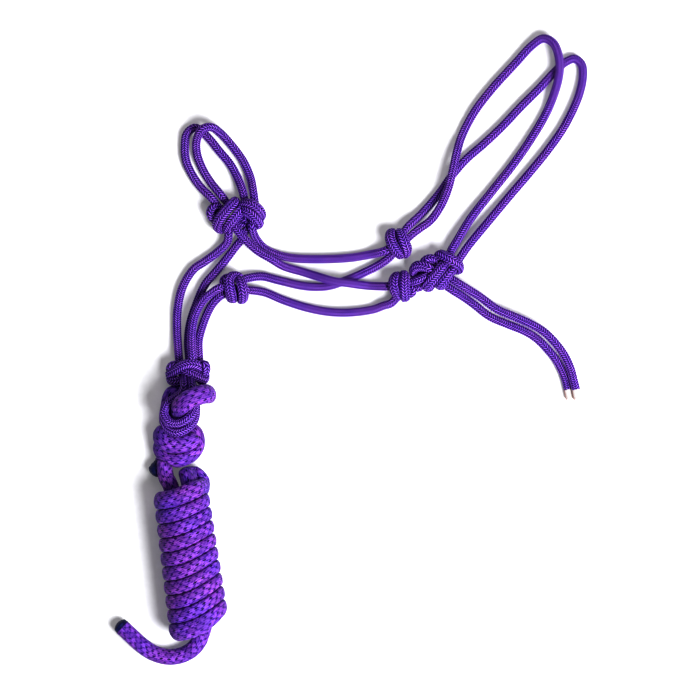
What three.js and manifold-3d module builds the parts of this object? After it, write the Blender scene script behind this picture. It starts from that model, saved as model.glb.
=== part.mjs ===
// A rope halter with its lead rope, laid flat, in millimetres, +Z up.
// The halter is one continuous rope tied in knots, so each knot, and each
// stretch of rope between two knots, is a mesh of its own.
// X and Y are the surface it lies on. The origin is under the middle of the halter.

import * as THREE from 'three';
import { mergeVertices } from 'three/addons/utils/BufferGeometryUtils.js';
import Module from 'manifold-3d';

const wasm = await Module();
wasm.setup();

// Driving dimensions
const HALTER_ROPE = 8;       // diameter of the halter's rope
const LEAD_ROPE = 14.5;      // diameter of the lead rope
const FLOOR = HALTER_ROPE / 2;              // height of a strand that lies on the surface
const OVER = FLOOR + HALTER_ROPE + 0.6;     // height of a strand that crosses another
const LEAD_FLOOR = LEAD_ROPE / 2;           // height of lead rope on the surface
const WHIPPING_LENGTH = 10;  // length of the white end of a tail
const WHIPPING_LEAN = 2.3;   // how far a whipping leans to the right over its length
const SEAL_LENGTH = 6;       // length of the lead rope's melted end
const GAP = 0.3;             // left between two meshes that meet

// The wound hank: its size, the ends of its middle line, and how it is rounded
const HANK_WIDTH = 52;
const HANK_HEIGHT = 46;
const HANK_ROUNDING = 6;     // how far the ends are rounded off
const HANK_SIDES = 20;
const HANK_FULLNESS = 0.75;  // 1 is an ellipse, and less is nearer to a rectangle
const WRAP_SLOPE = THREE.MathUtils.degToRad(19);
const hankTop = [-172.8, -229];
const hankBottom = [-156.5, -347];

// A tied knot's body, and the rings that stand for its wraps
const KNOT_FLATTENING = 1.2; // depth of a knot's underside that is pressed flat
const CORE_INSET = 0.6;      // how far the wraps stand out, as a share of their thickness
const WRAP_PITCH = 0.86;     // distance between wraps, as a share of their thickness
const CORE_SEGMENTS = [12, 8];
const RING_SEGMENTS = [8, 14];
const BLOCK = 100;           // a block larger than any knot, used to cut it flat

// How finely ropes and round bodies are faceted
const ROPE_SIDES = 8;
const BALL_SEGMENTS = [8, 6];
const STRAND_STEP = 1.6;     // length of a step along a strand, in diameters
const TIGHT_STEP = 0.8;      // the same where the strand bends tightly
const LEAD_STEP = 0.5;       // the same along the lead rope
const LEAD_KNOT_STEPS = 10;
const LEAD_KNOT_SEGMENTS = 24;

// Materials
const halterBraid = { color: 0x6d2cc4, roughness: 0.62, metalness: 0 };
const leadBraid = { color: 0x7a2fb8, roughness: 0.66, metalness: 0 };
const leadSeal = { color: 0x1d1f45, roughness: 0.5, metalness: 0 };
const whipping = { color: 0xf1e4dc, roughness: 0.55, metalness: 0 };

// Routes of the halter's strands: x, y and the height of the rope's centre.
const routes = {
  noseband_strand_outer: [
    [-146.5, 34.6, 9], [-156, 44, 5], [-164, 56, FLOOR], [-169, 68, FLOOR], [-170, 80, FLOOR],
    [-168, 92, FLOOR], [-161, 97, FLOOR], [-154, 93, FLOOR], [-147, 86, FLOOR], [-139, 76, FLOOR],
    [-129, 64, FLOOR], [-122.5, 52, 5], [-117.5, 38.6, 9]],
  noseband_strand_inner: [
    [-137, 35.9, 9], [-146, 47, 5], [-154, 60, FLOOR], [-159, 74, 6], [-159, 86, 10],
    [-154, 95, OVER + 0.8], [-146, 97, 11.8], [-138, 92, 6], [-127, 80, FLOOR], [-117, 66, FLOOR],
    [-111, 52, 5], [-108.5, 39.8, 9]],
  chin_strand_near: [
    [-130.5, 1.5, 9], [-132, -6, 6], [-140.5, -14.5, FLOOR], [-152, -23, FLOOR], [-162, -30, FLOOR],
    [-172, -46, FLOOR], [-176.5, -66, FLOOR], [-177, -86, FLOOR], [-176, -99, 6], [-175, -110, 8]],
  chin_strand_off: [
    [-116.5, 3, 4.2], [-119, -3, FLOOR], [-124.5, -10, FLOOR], [-132.5, -20.5, FLOOR], [-142, -32, FLOOR],
    [-152, -44, FLOOR], [-159, -60, FLOOR], [-165, -78, FLOOR], [-167, -95, 6], [-166, -110, 8]],
  jaw_strand_near: [
    [-138.4, -47, 14], [-145, -51, OVER], [-153, -58, OVER], [-160, -70, OVER + 0.5], [-163, -84, OVER + 1],
    [-163.5, -97, 15], [-162.5, -110, 17]],
  jaw_strand_off: [
    [-138, -54, 5.4], [-145, -61, FLOOR], [-150, -70, FLOOR], [-154.5, -82, FLOOR], [-157.5, -95, 6],
    [-157, -110, 8]],
  cheek_strand_near: [
    [-122, 4, 13.4], [-115, -4, OVER + 0.6], [-104, -14, OVER], [-92, -21, 11.8], [-81, -27.5, 6.5],
    [-64, -32.5, FLOOR], [-48, -37.5, 9], [-36, -41, OVER], [-25, -42.5, OVER], [-14, -44, 8.5],
    [-4, -45, 4.6], [11, -45.5, 9]],
  cheek_strand_off: [
    [-109.3, 7.3, 13], [-107, -1, 6.5], [-99, -11, FLOOR], [-88, -16.5, FLOOR], [-75, -19.8, FLOOR],
    [-52, -21, FLOOR], [-22, -19.8, FLOOR], [-5, -17, FLOOR], [9, -14, 9]],
  throat_strand_near: [
    [-111, -49, 6], [-98, -51, FLOOR], [-81, -58, FLOOR], [-59, -65, FLOOR], [-40, -68.5, FLOOR],
    [-22, -69, FLOOR], [0, -66, FLOOR], [8, -63, 6], [15, -60.8, 7]],
  throat_strand_off: [
    [-113, -38, 6], [-101, -36.5, FLOOR], [-86, -40, FLOOR], [-64, -45, FLOOR], [-49, -46, FLOOR],
    [-38, -44.5, FLOOR], [-28, -41, FLOOR], [-19, -37.5, FLOOR], [-9, -33, FLOOR], [3, -27, FLOOR],
    [12.5, -20.5, 6]],
  crown_strand_inner: [
    [40, 5.8, 9], [51, 14, 10.5], [60, 27, OVER], [66, 41, OVER], [70, 56, OVER],
    [74, 74, 9], [79, 90, FLOOR], [90, 111, FLOOR], [106, 132, FLOOR], [127, 155, FLOOR],
    [142, 171, 5], [152, 177, 7], [161, 172, 11], [166, 156, OVER + 0.4], [165, 140, 11.2],
    [156, 113, FLOOR], [141, 87, FLOOR], [125, 64, FLOOR], [106, 40, FLOOR], [86.5, 15, 6],
    [74.5, -4.6, 9]],
  crown_strand_outer: [
    [31, 8.5, 9], [41, 18, 5], [52, 30, FLOOR], [60, 40, FLOOR], [67, 50, FLOOR],
    [74, 59, FLOOR], [83, 69, FLOOR], [98, 82, FLOOR], [114, 97, FLOOR], [132, 116, FLOOR],
    [148, 132, FLOOR], [162, 147, FLOOR], [172, 156, FLOOR], [180, 159, FLOOR], [186.5, 154, FLOOR],
    [187.7, 144, FLOOR], [184, 126, FLOOR], [172, 100, FLOOR], [157, 78, FLOOR], [140, 57, FLOOR],
    [122, 36, FLOOR], [102, 12, 6], [85.5, -7.9, 9]],
  tie_loop_upper: [[40, -39.6, 15], [46.5, -36.5, 15]],
  tie_loop_lower: [[40, -46.5, 9], [47, -43, 9]],
  tail_strand_upper: [
    [78, -44.5, 13], [87, -50, 11], [95, -55, 10], [110, -66, 10], [125, -72.5, 10],
    [141, -79.5, 10], [153, -87, 10], [163, -97, 10], [171, -108, 10], [176, -119, 10],
    [179, -130, 10], [181, -138, 10]],
  tail_strand_lower: [
    [71.5, -49.5, 6], [80.5, -55, FLOOR], [89, -61, FLOOR], [104, -72.5, FLOOR], [120, -79.5, FLOOR],
    [136, -86, FLOOR], [147, -93, FLOOR], [156, -102, FLOOR], [164, -112, FLOOR], [169, -121, FLOOR],
    [172.5, -130, FLOOR], [174.5, -138, FLOOR]],
  fiador_loop_outer: [
    [-168.5, -136, 19.4], [-170.5, -142, 19.6], [-176.5, -147.5, 20], [-184, -154, 21.5],
    [-187.8, -162, 24.5], [-184.5, -171.5, 28.5], [-176, -175.8, 32.8], [-168, -173.2, 32.6],
    [-160.8, -166.2, 28.3], [-159, -157, 24], [-160, -147, 20],
    [-162, -136, 19.4]],
  fiador_loop_inner: [
    [-169, -136, 28.2], [-171.5, -141.5, 28.4], [-177.8, -145.7, 28.4], [-184.5, -151.5, 29.6],
    [-187, -159, 32], [-182, -166.5, 34.5], [-173.5, -167.5, 35.4], [-165, -162.8, 36.4],
    [-160.5, -156, 32.8], [-160.5, -147, 28.8], [-162.5, -136, 28.2]],
};

// Routes of the lead rope where it isn't wound
const leadRoutes = {
  lead_eye: [
    [-170.6, -163.5, 14], [-172.5, -160.5, 19.5], [-173.2, -157.1, 28.7], [-171.1, -152.2, 38.6],
    [-165, -147, 44], [-156, -143, 43], [-149.5, -141.5, 33], [-148.6, -142, 19], [-153.5, -142, 9.5],
    [-163, -141.5, LEAD_FLOOR], [-173, -140.8, LEAD_FLOOR], [-179, -141.2, 8], [-182, -145.5, 9],
    [-183.8, -154.5, LEAD_FLOOR], [-187, -164, 8]],
  lead_stub: [[-192, -207, LEAD_FLOOR], [-194.8, -210, LEAD_FLOOR], [-197.5, -213.5, LEAD_FLOOR]],
  lead_neck: [[-185.8, -217, 16], [-184, -220, 17], [-182.5, -222.6, 18]],
  hank_bight: [[-164.3, -217, 14], [-164.2, -218.6, 14.5]],
  lead_tail: [
    [-154.5, -357, LEAD_FLOOR], [-157.5, -364.5, LEAD_FLOOR], [-163.5, -371.5, LEAD_FLOOR],
    [-173, -376.5, LEAD_FLOOR], [-185, -378, LEAD_FLOOR], [-198, -374.5, LEAD_FLOOR],
    [-208, -368, LEAD_FLOOR], [-218, -359, LEAD_FLOOR], [-226, -351.5, LEAD_FLOOR]],
};
const leadTip = [[-226.3, -351.2, LEAD_FLOOR], [-230.5, -347.2, LEAD_FLOOR]];

// Knots: middle, direction of the strands through it in degrees, and its size along
// the strands, across them and in height. The wraps stand across the strands.
const knots = {
  near_nose_knot: { middle: [-134, 17], turn: -45, size: [24, 29, 23], wraps: 2 },
  off_nose_knot: { middle: [-108, 21.5], turn: 48, size: [20, 22, 22], wraps: 2 },
  jaw_knot: { middle: [-125, -45.5], turn: -8, size: [24, 28, 22], wraps: 2 },
  off_cheek_knot: { middle: [22, -7.5], turn: 18, size: [20, 25, 22], wraps: 2 },
  near_cheek_knot: { middle: [25, -45.5], turn: 7, size: [23, 28, 22], wraps: 2 },
  tie_knot: { middle: [62, -29], turn: 22, size: [27, 28, 24], wraps: 3 },
  fiador_knot: { middle: [-166.5, -123], turn: 90, size: [23, 39, 26], wraps: 2 },
};
const leadKnot = { middle: [-176.4, -190, 16], radius: 20, height: 32 };

const halter = new THREE.Group();

function addMesh(name, geometry, look) {
  const mesh = new THREE.Mesh(geometry, new THREE.MeshStandardMaterial(look));
  mesh.name = name;
  halter.add(mesh);
}

// A regular section with a flat side down once it is swept along a level path.
function section(diameter) {
  const outline = new THREE.Shape();
  for (let i = 0; i < ROPE_SIDES; i += 1) {
    const angle = ((i + 0.5) / ROPE_SIDES) * 2 * Math.PI;
    const x = (diameter / 2) * Math.cos(angle);
    const y = (diameter / 2) * Math.sin(angle);
    if (i === 0) outline.moveTo(x, y);
    else outline.lineTo(x, y);
  }
  outline.closePath();
  return outline;
}

// A smooth path through the points that never dips lower than rope lying on the surface.
class RopePath extends THREE.CatmullRomCurve3 {
  constructor(points, diameter) {
    super(points.map((p) => new THREE.Vector3(...p)), false, 'centripetal');
    this.lowest = diameter / 2;
  }

  getPoint(t, target) {
    const point = super.getPoint(t, target);
    point.z = Math.max(point.z, this.lowest);
    return point;
  }
}

function rope(points, diameter, stepLength) {
  const path = new RopePath(points, diameter);
  const steps = Math.max(2, Math.round(path.getLength() / stepLength));
  return new THREE.ExtrudeGeometry(section(diameter), { steps, extrudePath: path, bevelEnabled: false });
}

function toSolid(geometry) {
  const bare = geometry.clone();
  bare.deleteAttribute('normal');
  bare.deleteAttribute('uv');
  const merged = mergeVertices(bare, 1e-4);
  return new wasm.Manifold(new wasm.Mesh({
    numProp: 3,
    vertProperties: new Float32Array(merged.attributes.position.array),
    triVerts: new Uint32Array(merged.index.array),
  }));
}

function toGeometry(solid) {
  const { vertProperties, triVerts } = solid.getMesh();
  const geometry = new THREE.BufferGeometry();
  geometry.setAttribute('position', new THREE.BufferAttribute(vertProperties, 3));
  geometry.setIndex(new THREE.BufferAttribute(triVerts, 1));
  return geometry;
}

function join(geometries) {
  return geometries.map(toSolid).reduce((whole, next) => whole.add(next));
}

// A rope end rounded about the point that a joint turns on.
function ball(point, diameter) {
  return new THREE.SphereGeometry(diameter / 2, ...BALL_SEGMENTS).translate(...point);
}

function ropeWithBalls(points, diameter, stepLength, ballPoints) {
  return toGeometry(join([rope(points, diameter, stepLength), ...ballPoints.map((p) => ball(p, diameter))]));
}

// A tied knot: a round body with the wraps as rings across the strands, flat where it rests.
function knot({ middle, turn, size, wraps }) {
  const [along, across, height] = size;
  const thickness = along / (wraps + 0.2);
  const core = [along, across - thickness * CORE_INSET, height - thickness * CORE_INSET];
  const pieces = [new THREE.SphereGeometry(0.5, ...CORE_SEGMENTS).scale(...core)];
  for (let i = 0; i < wraps; i += 1) {
    const offset = (i - (wraps - 1) / 2) * thickness * WRAP_PITCH;
    const ring = new THREE.TorusGeometry(across / 2 - thickness / 2, thickness / 2, ...RING_SEGMENTS);
    pieces.push(ring.rotateY(Math.PI / 2).scale(1, 1, height / across).translate(offset, 0, 0));
  }
  const solid = join(pieces.map((piece) => piece.rotateZ(THREE.MathUtils.degToRad(turn))));
  const lift = -solid.boundingBox().min[2] - KNOT_FLATTENING;
  const block = new THREE.BoxGeometry(BLOCK, BLOCK, BLOCK).translate(middle[0], middle[1], BLOCK / 2);
  const above = toSolid(block);
  return toGeometry(solid.translate([middle[0], middle[1], lift]).intersect(above));
}

for (const [name, shape] of Object.entries(knots)) addMesh(name, knot(shape), halterBraid);

const hingedStrands = [
  'noseband_strand_outer', 'noseband_strand_inner', 'crown_strand_inner', 'crown_strand_outer',
];
const tightStrands = ['fiador_loop_outer', 'fiador_loop_inner'];
for (const [name, points] of Object.entries(routes)) {
  const stepLength = HALTER_ROPE * (tightStrands.includes(name) ? TIGHT_STEP : STRAND_STEP);
  if (hingedStrands.includes(name)) {
    addMesh(name, ropeWithBalls(points, HALTER_ROPE, stepLength, [points[0], points.at(-1)]), halterBraid);
  } else if (name.startsWith('tail_strand')) {
    addMesh(name, ropeWithBalls(points, HALTER_ROPE, stepLength, [points[0]]), halterBraid);
  } else {
    addMesh(name, rope(points, HALTER_ROPE, stepLength), halterBraid);
  }
}

// The whipped ends of the two tails
for (const side of ['upper', 'lower']) {
  const points = routes[`tail_strand_${side}`];
  const [x, y, z] = points.at(-1);
  const start = [x, y - GAP, z];
  const end = [x + WHIPPING_LEAN, y - GAP - WHIPPING_LENGTH, z];
  addMesh(`tail_whipping_${side}`, rope([start, end], HALTER_ROPE, WHIPPING_LENGTH / 2), whipping);
}

// The lead rope's knot and hank
const knotProfile = [];
for (let i = 0; i <= LEAD_KNOT_STEPS; i += 1) {
  const angle = (i / LEAD_KNOT_STEPS - 0.5) * Math.PI;
  knotProfile.push(new THREE.Vector2(
    leadKnot.radius * Math.cos(angle), (leadKnot.height / 2) * Math.sin(angle)));
}
knotProfile[0].x = 0;
knotProfile[LEAD_KNOT_STEPS].x = 0;
const leadKnotBody = new THREE.LatheGeometry(knotProfile, LEAD_KNOT_SEGMENTS).rotateX(Math.PI / 2);
addMesh('lead_knot', leadKnotBody.translate(...leadKnot.middle), leadBraid);

// A rounded oval swept along the hank's middle line, sheared so that its ends follow the wraps.
function hankSolid() {
  const outline = new THREE.Shape();
  for (let i = 0; i < HANK_SIDES; i += 1) {
    const angle = ((i + 0.5) / HANK_SIDES) * 2 * Math.PI;
    const x = (HANK_WIDTH / 2) * Math.sign(Math.cos(angle)) * Math.abs(Math.cos(angle)) ** HANK_FULLNESS;
    const y = (HANK_HEIGHT / 2) * Math.sign(Math.sin(angle)) * Math.abs(Math.sin(angle)) ** HANK_FULLNESS;
    if (i === 0) outline.moveTo(x, y);
    else outline.lineTo(x, y);
  }
  outline.closePath();
  const run = new THREE.Vector3(hankBottom[0] - hankTop[0], hankBottom[1] - hankTop[1], 0);
  const swept = new THREE.ExtrudeGeometry(outline, {
    depth: run.length() - 2 * HANK_ROUNDING,
    bevelEnabled: true,
    bevelThickness: HANK_ROUNDING,
    bevelSize: HANK_ROUNDING,
    bevelOffset: -HANK_ROUNDING,
    bevelSegments: 3,
  });
  swept.translate(0, 0, HANK_ROUNDING);
  const across = new THREE.Vector3(Math.cos(WRAP_SLOPE), Math.sin(WRAP_SLOPE), 0);
  swept.applyMatrix4(new THREE.Matrix4().makeBasis(across, new THREE.Vector3(0, 0, 1), run.normalize()));
  swept.computeBoundingBox();
  return swept.translate(hankTop[0], hankTop[1], -swept.boundingBox.min.z);
}
addMesh('lead_hank', hankSolid(), leadBraid);

for (const [name, points] of Object.entries(leadRoutes)) {
  const stepLength = LEAD_ROPE * LEAD_STEP;
  const ballPoints = ['lead_neck', 'hank_bight', 'lead_tail'].includes(name) ? [points[0]] : [];
  addMesh(name, ropeWithBalls(points, LEAD_ROPE, stepLength, ballPoints), leadBraid);
}
addMesh('lead_tail_tip', rope(leadTip, LEAD_ROPE, SEAL_LENGTH / 2), leadSeal);

export default halter;
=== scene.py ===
"""A knotted rope halter and its hanked lead rope, laid flat on a pale floor.

Every rope is a braided tube round a smooth line. Lines are in millimetres here, as in the part's
own design, and become metres when a mesh is made. Where ropes press on each other or on the floor,
their sections flatten against each other instead of passing through.
"""

import math

import bpy
import numpy as np
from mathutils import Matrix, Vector


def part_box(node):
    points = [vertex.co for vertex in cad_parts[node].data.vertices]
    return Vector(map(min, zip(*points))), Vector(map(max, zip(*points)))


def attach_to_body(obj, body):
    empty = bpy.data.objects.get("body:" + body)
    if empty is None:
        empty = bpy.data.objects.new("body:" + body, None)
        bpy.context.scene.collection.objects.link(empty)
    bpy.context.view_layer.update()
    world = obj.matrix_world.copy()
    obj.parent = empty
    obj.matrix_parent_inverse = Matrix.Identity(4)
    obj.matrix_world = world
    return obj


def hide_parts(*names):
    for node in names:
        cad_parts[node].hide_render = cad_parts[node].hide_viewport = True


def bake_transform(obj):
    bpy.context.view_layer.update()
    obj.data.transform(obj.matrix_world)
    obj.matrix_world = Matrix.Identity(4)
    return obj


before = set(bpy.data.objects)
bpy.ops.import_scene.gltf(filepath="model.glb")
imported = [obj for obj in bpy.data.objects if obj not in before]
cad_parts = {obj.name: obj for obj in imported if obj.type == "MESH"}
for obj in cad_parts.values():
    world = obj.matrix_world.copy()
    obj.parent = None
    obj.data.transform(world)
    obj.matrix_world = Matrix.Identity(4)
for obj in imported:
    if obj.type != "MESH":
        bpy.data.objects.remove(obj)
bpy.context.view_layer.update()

MM = 0.001

# Driving dimensions, in millimetres
HALTER_ROPE = 8.0
LEAD_ROPE = 14.5
FLOOR = HALTER_ROPE / 2
OVER = FLOOR + HALTER_ROPE + 0.6
LEAD_FLOOR = LEAD_ROPE / 2
WHIPPING_LENGTH = 10.0

# Sections of ropes that press on each other
CONTACT_GAP = 0.12      # left on each side of a contact
SQUEEZE_POWER = 9.0     # how sharply a section turns flat
SAME_STRETCH = 2.0      # points of middle lines nearer than this belong to the same bit of rope
CONTACT_REACH = 2.2     # from a middle line to the surfaces that can press on its rope, in radii
FACING = 0.05           # a direction has to turn this far towards something to meet it
NEIGHBOURS = 70         # the nearest points of all middle lines that are looked at
CHUNK = 250             # rings worked on at a time
FREE = 1e3              # a limit that never acts
THINNEST = 0.25         # of its radius, that a section keeps
FLOOR_GAP = 0.1
LOWEST = 0.94           # a middle line's least height, in radii, so a rope on the floor is flattened
WRAP_SPREAD = 1.34      # a knot wrap's width over the free rope's, on the halter
LEAD_WRAP_SPREAD = 1.2
HANK_WRAP_SPREAD = 1.35

# The mesh of a rope
SIDES = 48              # points round it
SPAN_POINTS = 24        # points worked out between two given ones, before they are spaced evenly
ROUNDING = 0.6          # length of a rounded end, in radii
ROUND_TIP = 0.02        # how far a rounded end closes, as a share squared

# Braids: columns of stitches round the rope, stitch pitch along it, depth of the relief, and the
# step between the mesh's rings. The halter's have a slope, a fullness and a dip at their edges.
HALTER_BRAID = {
    "slot": "halter_braid", "columns": 8, "pitch": 2.1, "depth": 0.5, "step": 0.42,
    "slope": 1.25, "fullness": 0.8, "edge_dip": 0.6}
LEAD_BRAID = {"slot": "lead_braid", "columns": 12, "pitch": 6.6, "depth": 0.95, "step": 0.85}
WHIPPING = {"slot": "whipping", "pitch": 0.7, "depth": 0.12, "step": 0.14}
SEAL = {"slot": "lead_seal", "columns": 5, "pitch": 3.4, "depth": 0.5, "step": 0.42}

# The lead's stitches are leaves, two columns wide: widths in columns, lengths in half pitches
STITCH_LEAN = 0.10      # how far a stitch shifts along the rope, in pitches for each column across
STITCH_TIP = 0.12       # half its width at its tips
STITCH_BELLY = 0.98     # what its middle adds to that
HOLE_WIDTH = 0.20       # half the width of the opening at a stitch's tip, painted dark as shade
HOLE_LENGTH = 0.55      # and half its length
HOLE_SPREAD = 0.5       # how much shallower, and so less darkly painted, the smallest opening is
SEAM_WIDTH = 0.35       # difference in height over which the painted shade in the crease beside a stitch fades
SEAM_SHADE = 0.22       # how dark that painted crease shade is
SET_OFFSET = 31         # keeps the random numbers of the two sets of stitches apart

# Yarn in the materials, from noise
FIBRES_ALONG = 5        # how fine the halter's fibres are, to one stitch
FIBRES_ACROSS = 3
STREAKS_ALONG = 0.45    # how fine the lead's streaks are, to a millimetre
STREAKS_ROUND = 48      # and to one turn round it
STREAK_DEPTH = 1.5
HALTER_SHADES = 0.4     # how far the darkest stitches go towards a dark colour
LEAD_SHADES = 0.6

# ---------------------------------------------------------------- routes

# The halter's strands between its knots, as in the part's design: x, y and height
routes = {
    "noseband_strand_outer": [
        (-146.5, 34.6, 9), (-156, 44, 5), (-164, 56, FLOOR), (-169, 68, FLOOR), (-170, 80, FLOOR),
        (-168, 92, FLOOR), (-161, 97, FLOOR), (-154, 93, FLOOR), (-147, 86, FLOOR), (-139, 76, FLOOR),
        (-129, 64, FLOOR), (-122.5, 52, 5), (-117.5, 38.6, 9)],
    "noseband_strand_inner": [
        (-137, 35.9, 9), (-146, 47, 5), (-154, 60, FLOOR), (-159, 74, 6), (-159, 86, 10),
        (-154, 95, OVER + 0.8), (-146, 97, 11.8), (-138, 92, 6), (-127, 80, FLOOR), (-117, 66, FLOOR),
        (-111, 52, 5), (-108.5, 39.8, 9)],
    "chin_strand_near": [
        (-130.5, 1.5, 9), (-132, -6, 6), (-140.5, -14.5, FLOOR), (-152, -23, FLOOR), (-162, -30, FLOOR),
        (-172, -46, FLOOR), (-176.5, -66, FLOOR), (-177, -86, FLOOR), (-176, -99, 6), (-175, -110, 8)],
    "chin_strand_off": [
        (-116.5, 3, 4.2), (-119, -3, FLOOR), (-124.5, -10, FLOOR), (-132.5, -20.5, FLOOR),
        (-142, -32, FLOOR), (-152, -44, FLOOR), (-159, -60, FLOOR), (-165, -78, FLOOR), (-167, -95, 6),
        (-166, -110, 8)],
    "jaw_strand_near": [
        (-138.4, -47, 14), (-145, -51, OVER), (-153, -58, OVER), (-160, -70, OVER + 0.5),
        (-163, -84, OVER + 1), (-163.5, -97, 15), (-162.5, -110, 17)],
    "jaw_strand_off": [
        (-138, -54, 5.4), (-145, -61, FLOOR), (-150, -70, FLOOR), (-154.5, -82, FLOOR),
        (-157.5, -95, 6), (-157, -110, 8)],
    "cheek_strand_near": [
        (-122, 4, 13.4), (-115, -4, OVER + 0.6), (-104, -14, OVER), (-92, -21, 11.8), (-81, -27.5, 6.5),
        (-64, -32.5, FLOOR), (-48, -37.5, 9), (-36, -41, OVER), (-25, -42.5, OVER), (-14, -44, 8.5),
        (-4, -45, 4.6), (11, -45.5, 9)],
    "cheek_strand_off": [
        (-109.3, 7.3, 13), (-107, -1, 6.5), (-99, -11, FLOOR), (-88, -16.5, FLOOR), (-75, -19.8, FLOOR),
        (-52, -21, FLOOR), (-22, -19.8, FLOOR), (-5, -17, FLOOR), (9, -14, 9)],
    "throat_strand_near": [
        (-111, -49, 6), (-98, -51, FLOOR), (-81, -58, FLOOR), (-59, -65, FLOOR), (-40, -68.5, FLOOR),
        (-22, -69, FLOOR), (0, -66, FLOOR), (8, -63, 6), (15, -60.8, 7)],
    "throat_strand_off": [
        (-113, -38, 6), (-101, -36.5, FLOOR), (-86, -40, FLOOR), (-64, -45, FLOOR), (-49, -46, FLOOR),
        (-38, -44.5, FLOOR), (-28, -41, FLOOR), (-19, -37.5, FLOOR), (-9, -33, FLOOR), (3, -27, FLOOR),
        (12.5, -20.5, 6)],
    "crown_strand_inner": [
        (40, 5.8, 9), (51, 14, 10.5), (60, 27, OVER), (66, 41, OVER), (70, 56, OVER), (74, 74, 9),
        (79, 90, FLOOR), (90, 111, FLOOR), (106, 132, FLOOR), (127, 155, FLOOR), (142, 171, 5),
        (152, 177, 7), (161, 172, 11), (166, 156, OVER + 0.4), (165, 140, 11.2), (156, 113, FLOOR),
        (141, 87, FLOOR), (125, 64, FLOOR), (106, 40, FLOOR), (86.5, 15, 6), (74.5, -4.6, 9)],
    "crown_strand_outer": [
        (31, 8.5, 9), (41, 18, 5), (52, 30, FLOOR), (60, 40, FLOOR), (67, 50, FLOOR), (74, 59, FLOOR),
        (83, 69, FLOOR), (98, 82, FLOOR), (114, 97, FLOOR), (132, 116, FLOOR), (148, 132, FLOOR),
        (162, 147, FLOOR), (172, 156, FLOOR), (180, 159, FLOOR), (186.5, 154, FLOOR),
        (187.7, 144, FLOOR), (184, 126, FLOOR), (172, 100, FLOOR), (157, 78, FLOOR), (140, 57, FLOOR),
        (122, 36, FLOOR), (102, 12, 6), (85.5, -7.9, 9)],
    "tie_loop_upper": [(40, -39.6, 15), (46.5, -36.5, 15)],
    "tie_loop_lower": [(40, -46.5, 9), (47, -43, 9)],
    "tail_strand_upper": [
        (78, -44.5, 13), (87, -50, 11), (95, -55, 10), (110, -66, 10), (125, -72.5, 10),
        (141, -79.5, 10), (153, -87, 10), (163, -97, 10), (171, -108, 10), (176, -119, 10),
        (179, -130, 10), (181, -138, 10)],
    "tail_strand_lower": [
        (71.5, -49.5, 6), (80.5, -55, FLOOR), (89, -61, FLOOR), (104, -72.5, FLOOR),
        (120, -79.5, FLOOR), (136, -86, FLOOR), (147, -93, FLOOR), (156, -102, FLOOR),
        (164, -112, FLOOR), (169, -121, FLOOR), (172.5, -130, FLOOR), (174.5, -138, FLOOR)],
    "fiador_loop_outer": [
        (-168.5, -136, 19.4), (-170.5, -142, 19.6), (-176.5, -147.5, 20), (-184, -154, 21.5),
        (-187.8, -162, 24.5), (-184.5, -171.5, 28.5), (-176, -175.8, 32.8), (-168, -173.2, 32.6),
        (-160.8, -166.2, 28.3), (-159, -157, 24), (-160, -147, 20), (-162, -136, 19.4)],
    "fiador_loop_inner": [
        (-169, -136, 28.2), (-171.5, -141.5, 28.4), (-177.8, -145.7, 28.4), (-184.5, -151.5, 29.6),
        (-187, -159, 32), (-182, -166.5, 34.5), (-173.5, -167.5, 35.4), (-165, -162.8, 36.4),
        (-160.5, -156, 32.8), (-160.5, -147, 28.8), (-162.5, -136, 28.2)],
}

# How each strand runs on inside the knots at its two ends, outermost point first
inside_knots = {
    "noseband_strand_outer": (
        [(-141, 28, 8), (-135, 20, 6)], [(-116.5, 33, 9), (-115, 27, 8), (-111, 18, 6)]),
    "noseband_strand_inner": (
        [(-133, 30, 7.5), (-129, 22, 6)], [(-107.5, 33, 9.5), (-107, 27, 8), (-108, 18, 6)]),
    "chin_strand_near": ([(-130, 7, 8), (-130, 13, 6)], [(-174.5, -116, 8), (-173, -124, 6)]),
    "chin_strand_off": ([(-113, 8, 5), (-110, 14, 6)], [(-166, -116, 8), (-165, -124, 6)]),
    "jaw_strand_near": ([(-133, -45, 12), (-127, -44, 8)], [(-162, -114, 14), (-160, -120, 9)]),
    "jaw_strand_off": ([(-131, -50, 6), (-124, -46, 6)], [(-157, -116, 7.5), (-158, -124, 6)]),
    "cheek_strand_near": ([(-126.5, 9.5, 12.5), (-130, 14, 9)], [(17, -45, 7), (24, -44, 6)]),
    "cheek_strand_off": ([(-109.5, 12, 11.5), (-110, 18, 9)], [(15, -11, 7), (21, -7, 6)]),
    "throat_strand_near": ([(-117, -49, 6), (-123, -50, 6)], [(20, -56, 6.5), (26, -50, 6)]),
    "throat_strand_off": ([(-118, -39.5, 6.5), (-123, -43, 7)], [(18, -15, 6), (24, -9, 6)]),
    "crown_strand_inner": ([(35, 2, 9), (28, -4, 7)], [(70, -12, 8.5), (66, -22, 7)]),
    "crown_strand_outer": ([(27.5, 4, 8.5), (22, -2, 6.5)], [(79, -17, 9), (72, -28, 7)]),
    "tie_loop_upper": ([(33, -41.5, 11), (27, -42, 7)], [(52, -33.5, 12), (58, -30, 8)]),
    "tie_loop_lower": ([(34, -47, 7), (28, -46, 6)], [(53, -39.5, 7), (60, -35, 6)]),
    "tail_strand_upper": ([(71, -40, 12), (64, -35, 8)], []),
    "tail_strand_lower": ([(65, -45, 6), (60, -40, 6)], []),
    "fiador_loop_outer": (
        [(-168.5, -131, 15), (-168, -126, 10)], [(-163, -131, 15), (-165, -126, 10)]),
    "fiador_loop_inner": (
        [(-169.5, -131, 22), (-170, -126, 14)], [(-163.5, -131, 22), (-166, -126, 14)]),
}

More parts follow.
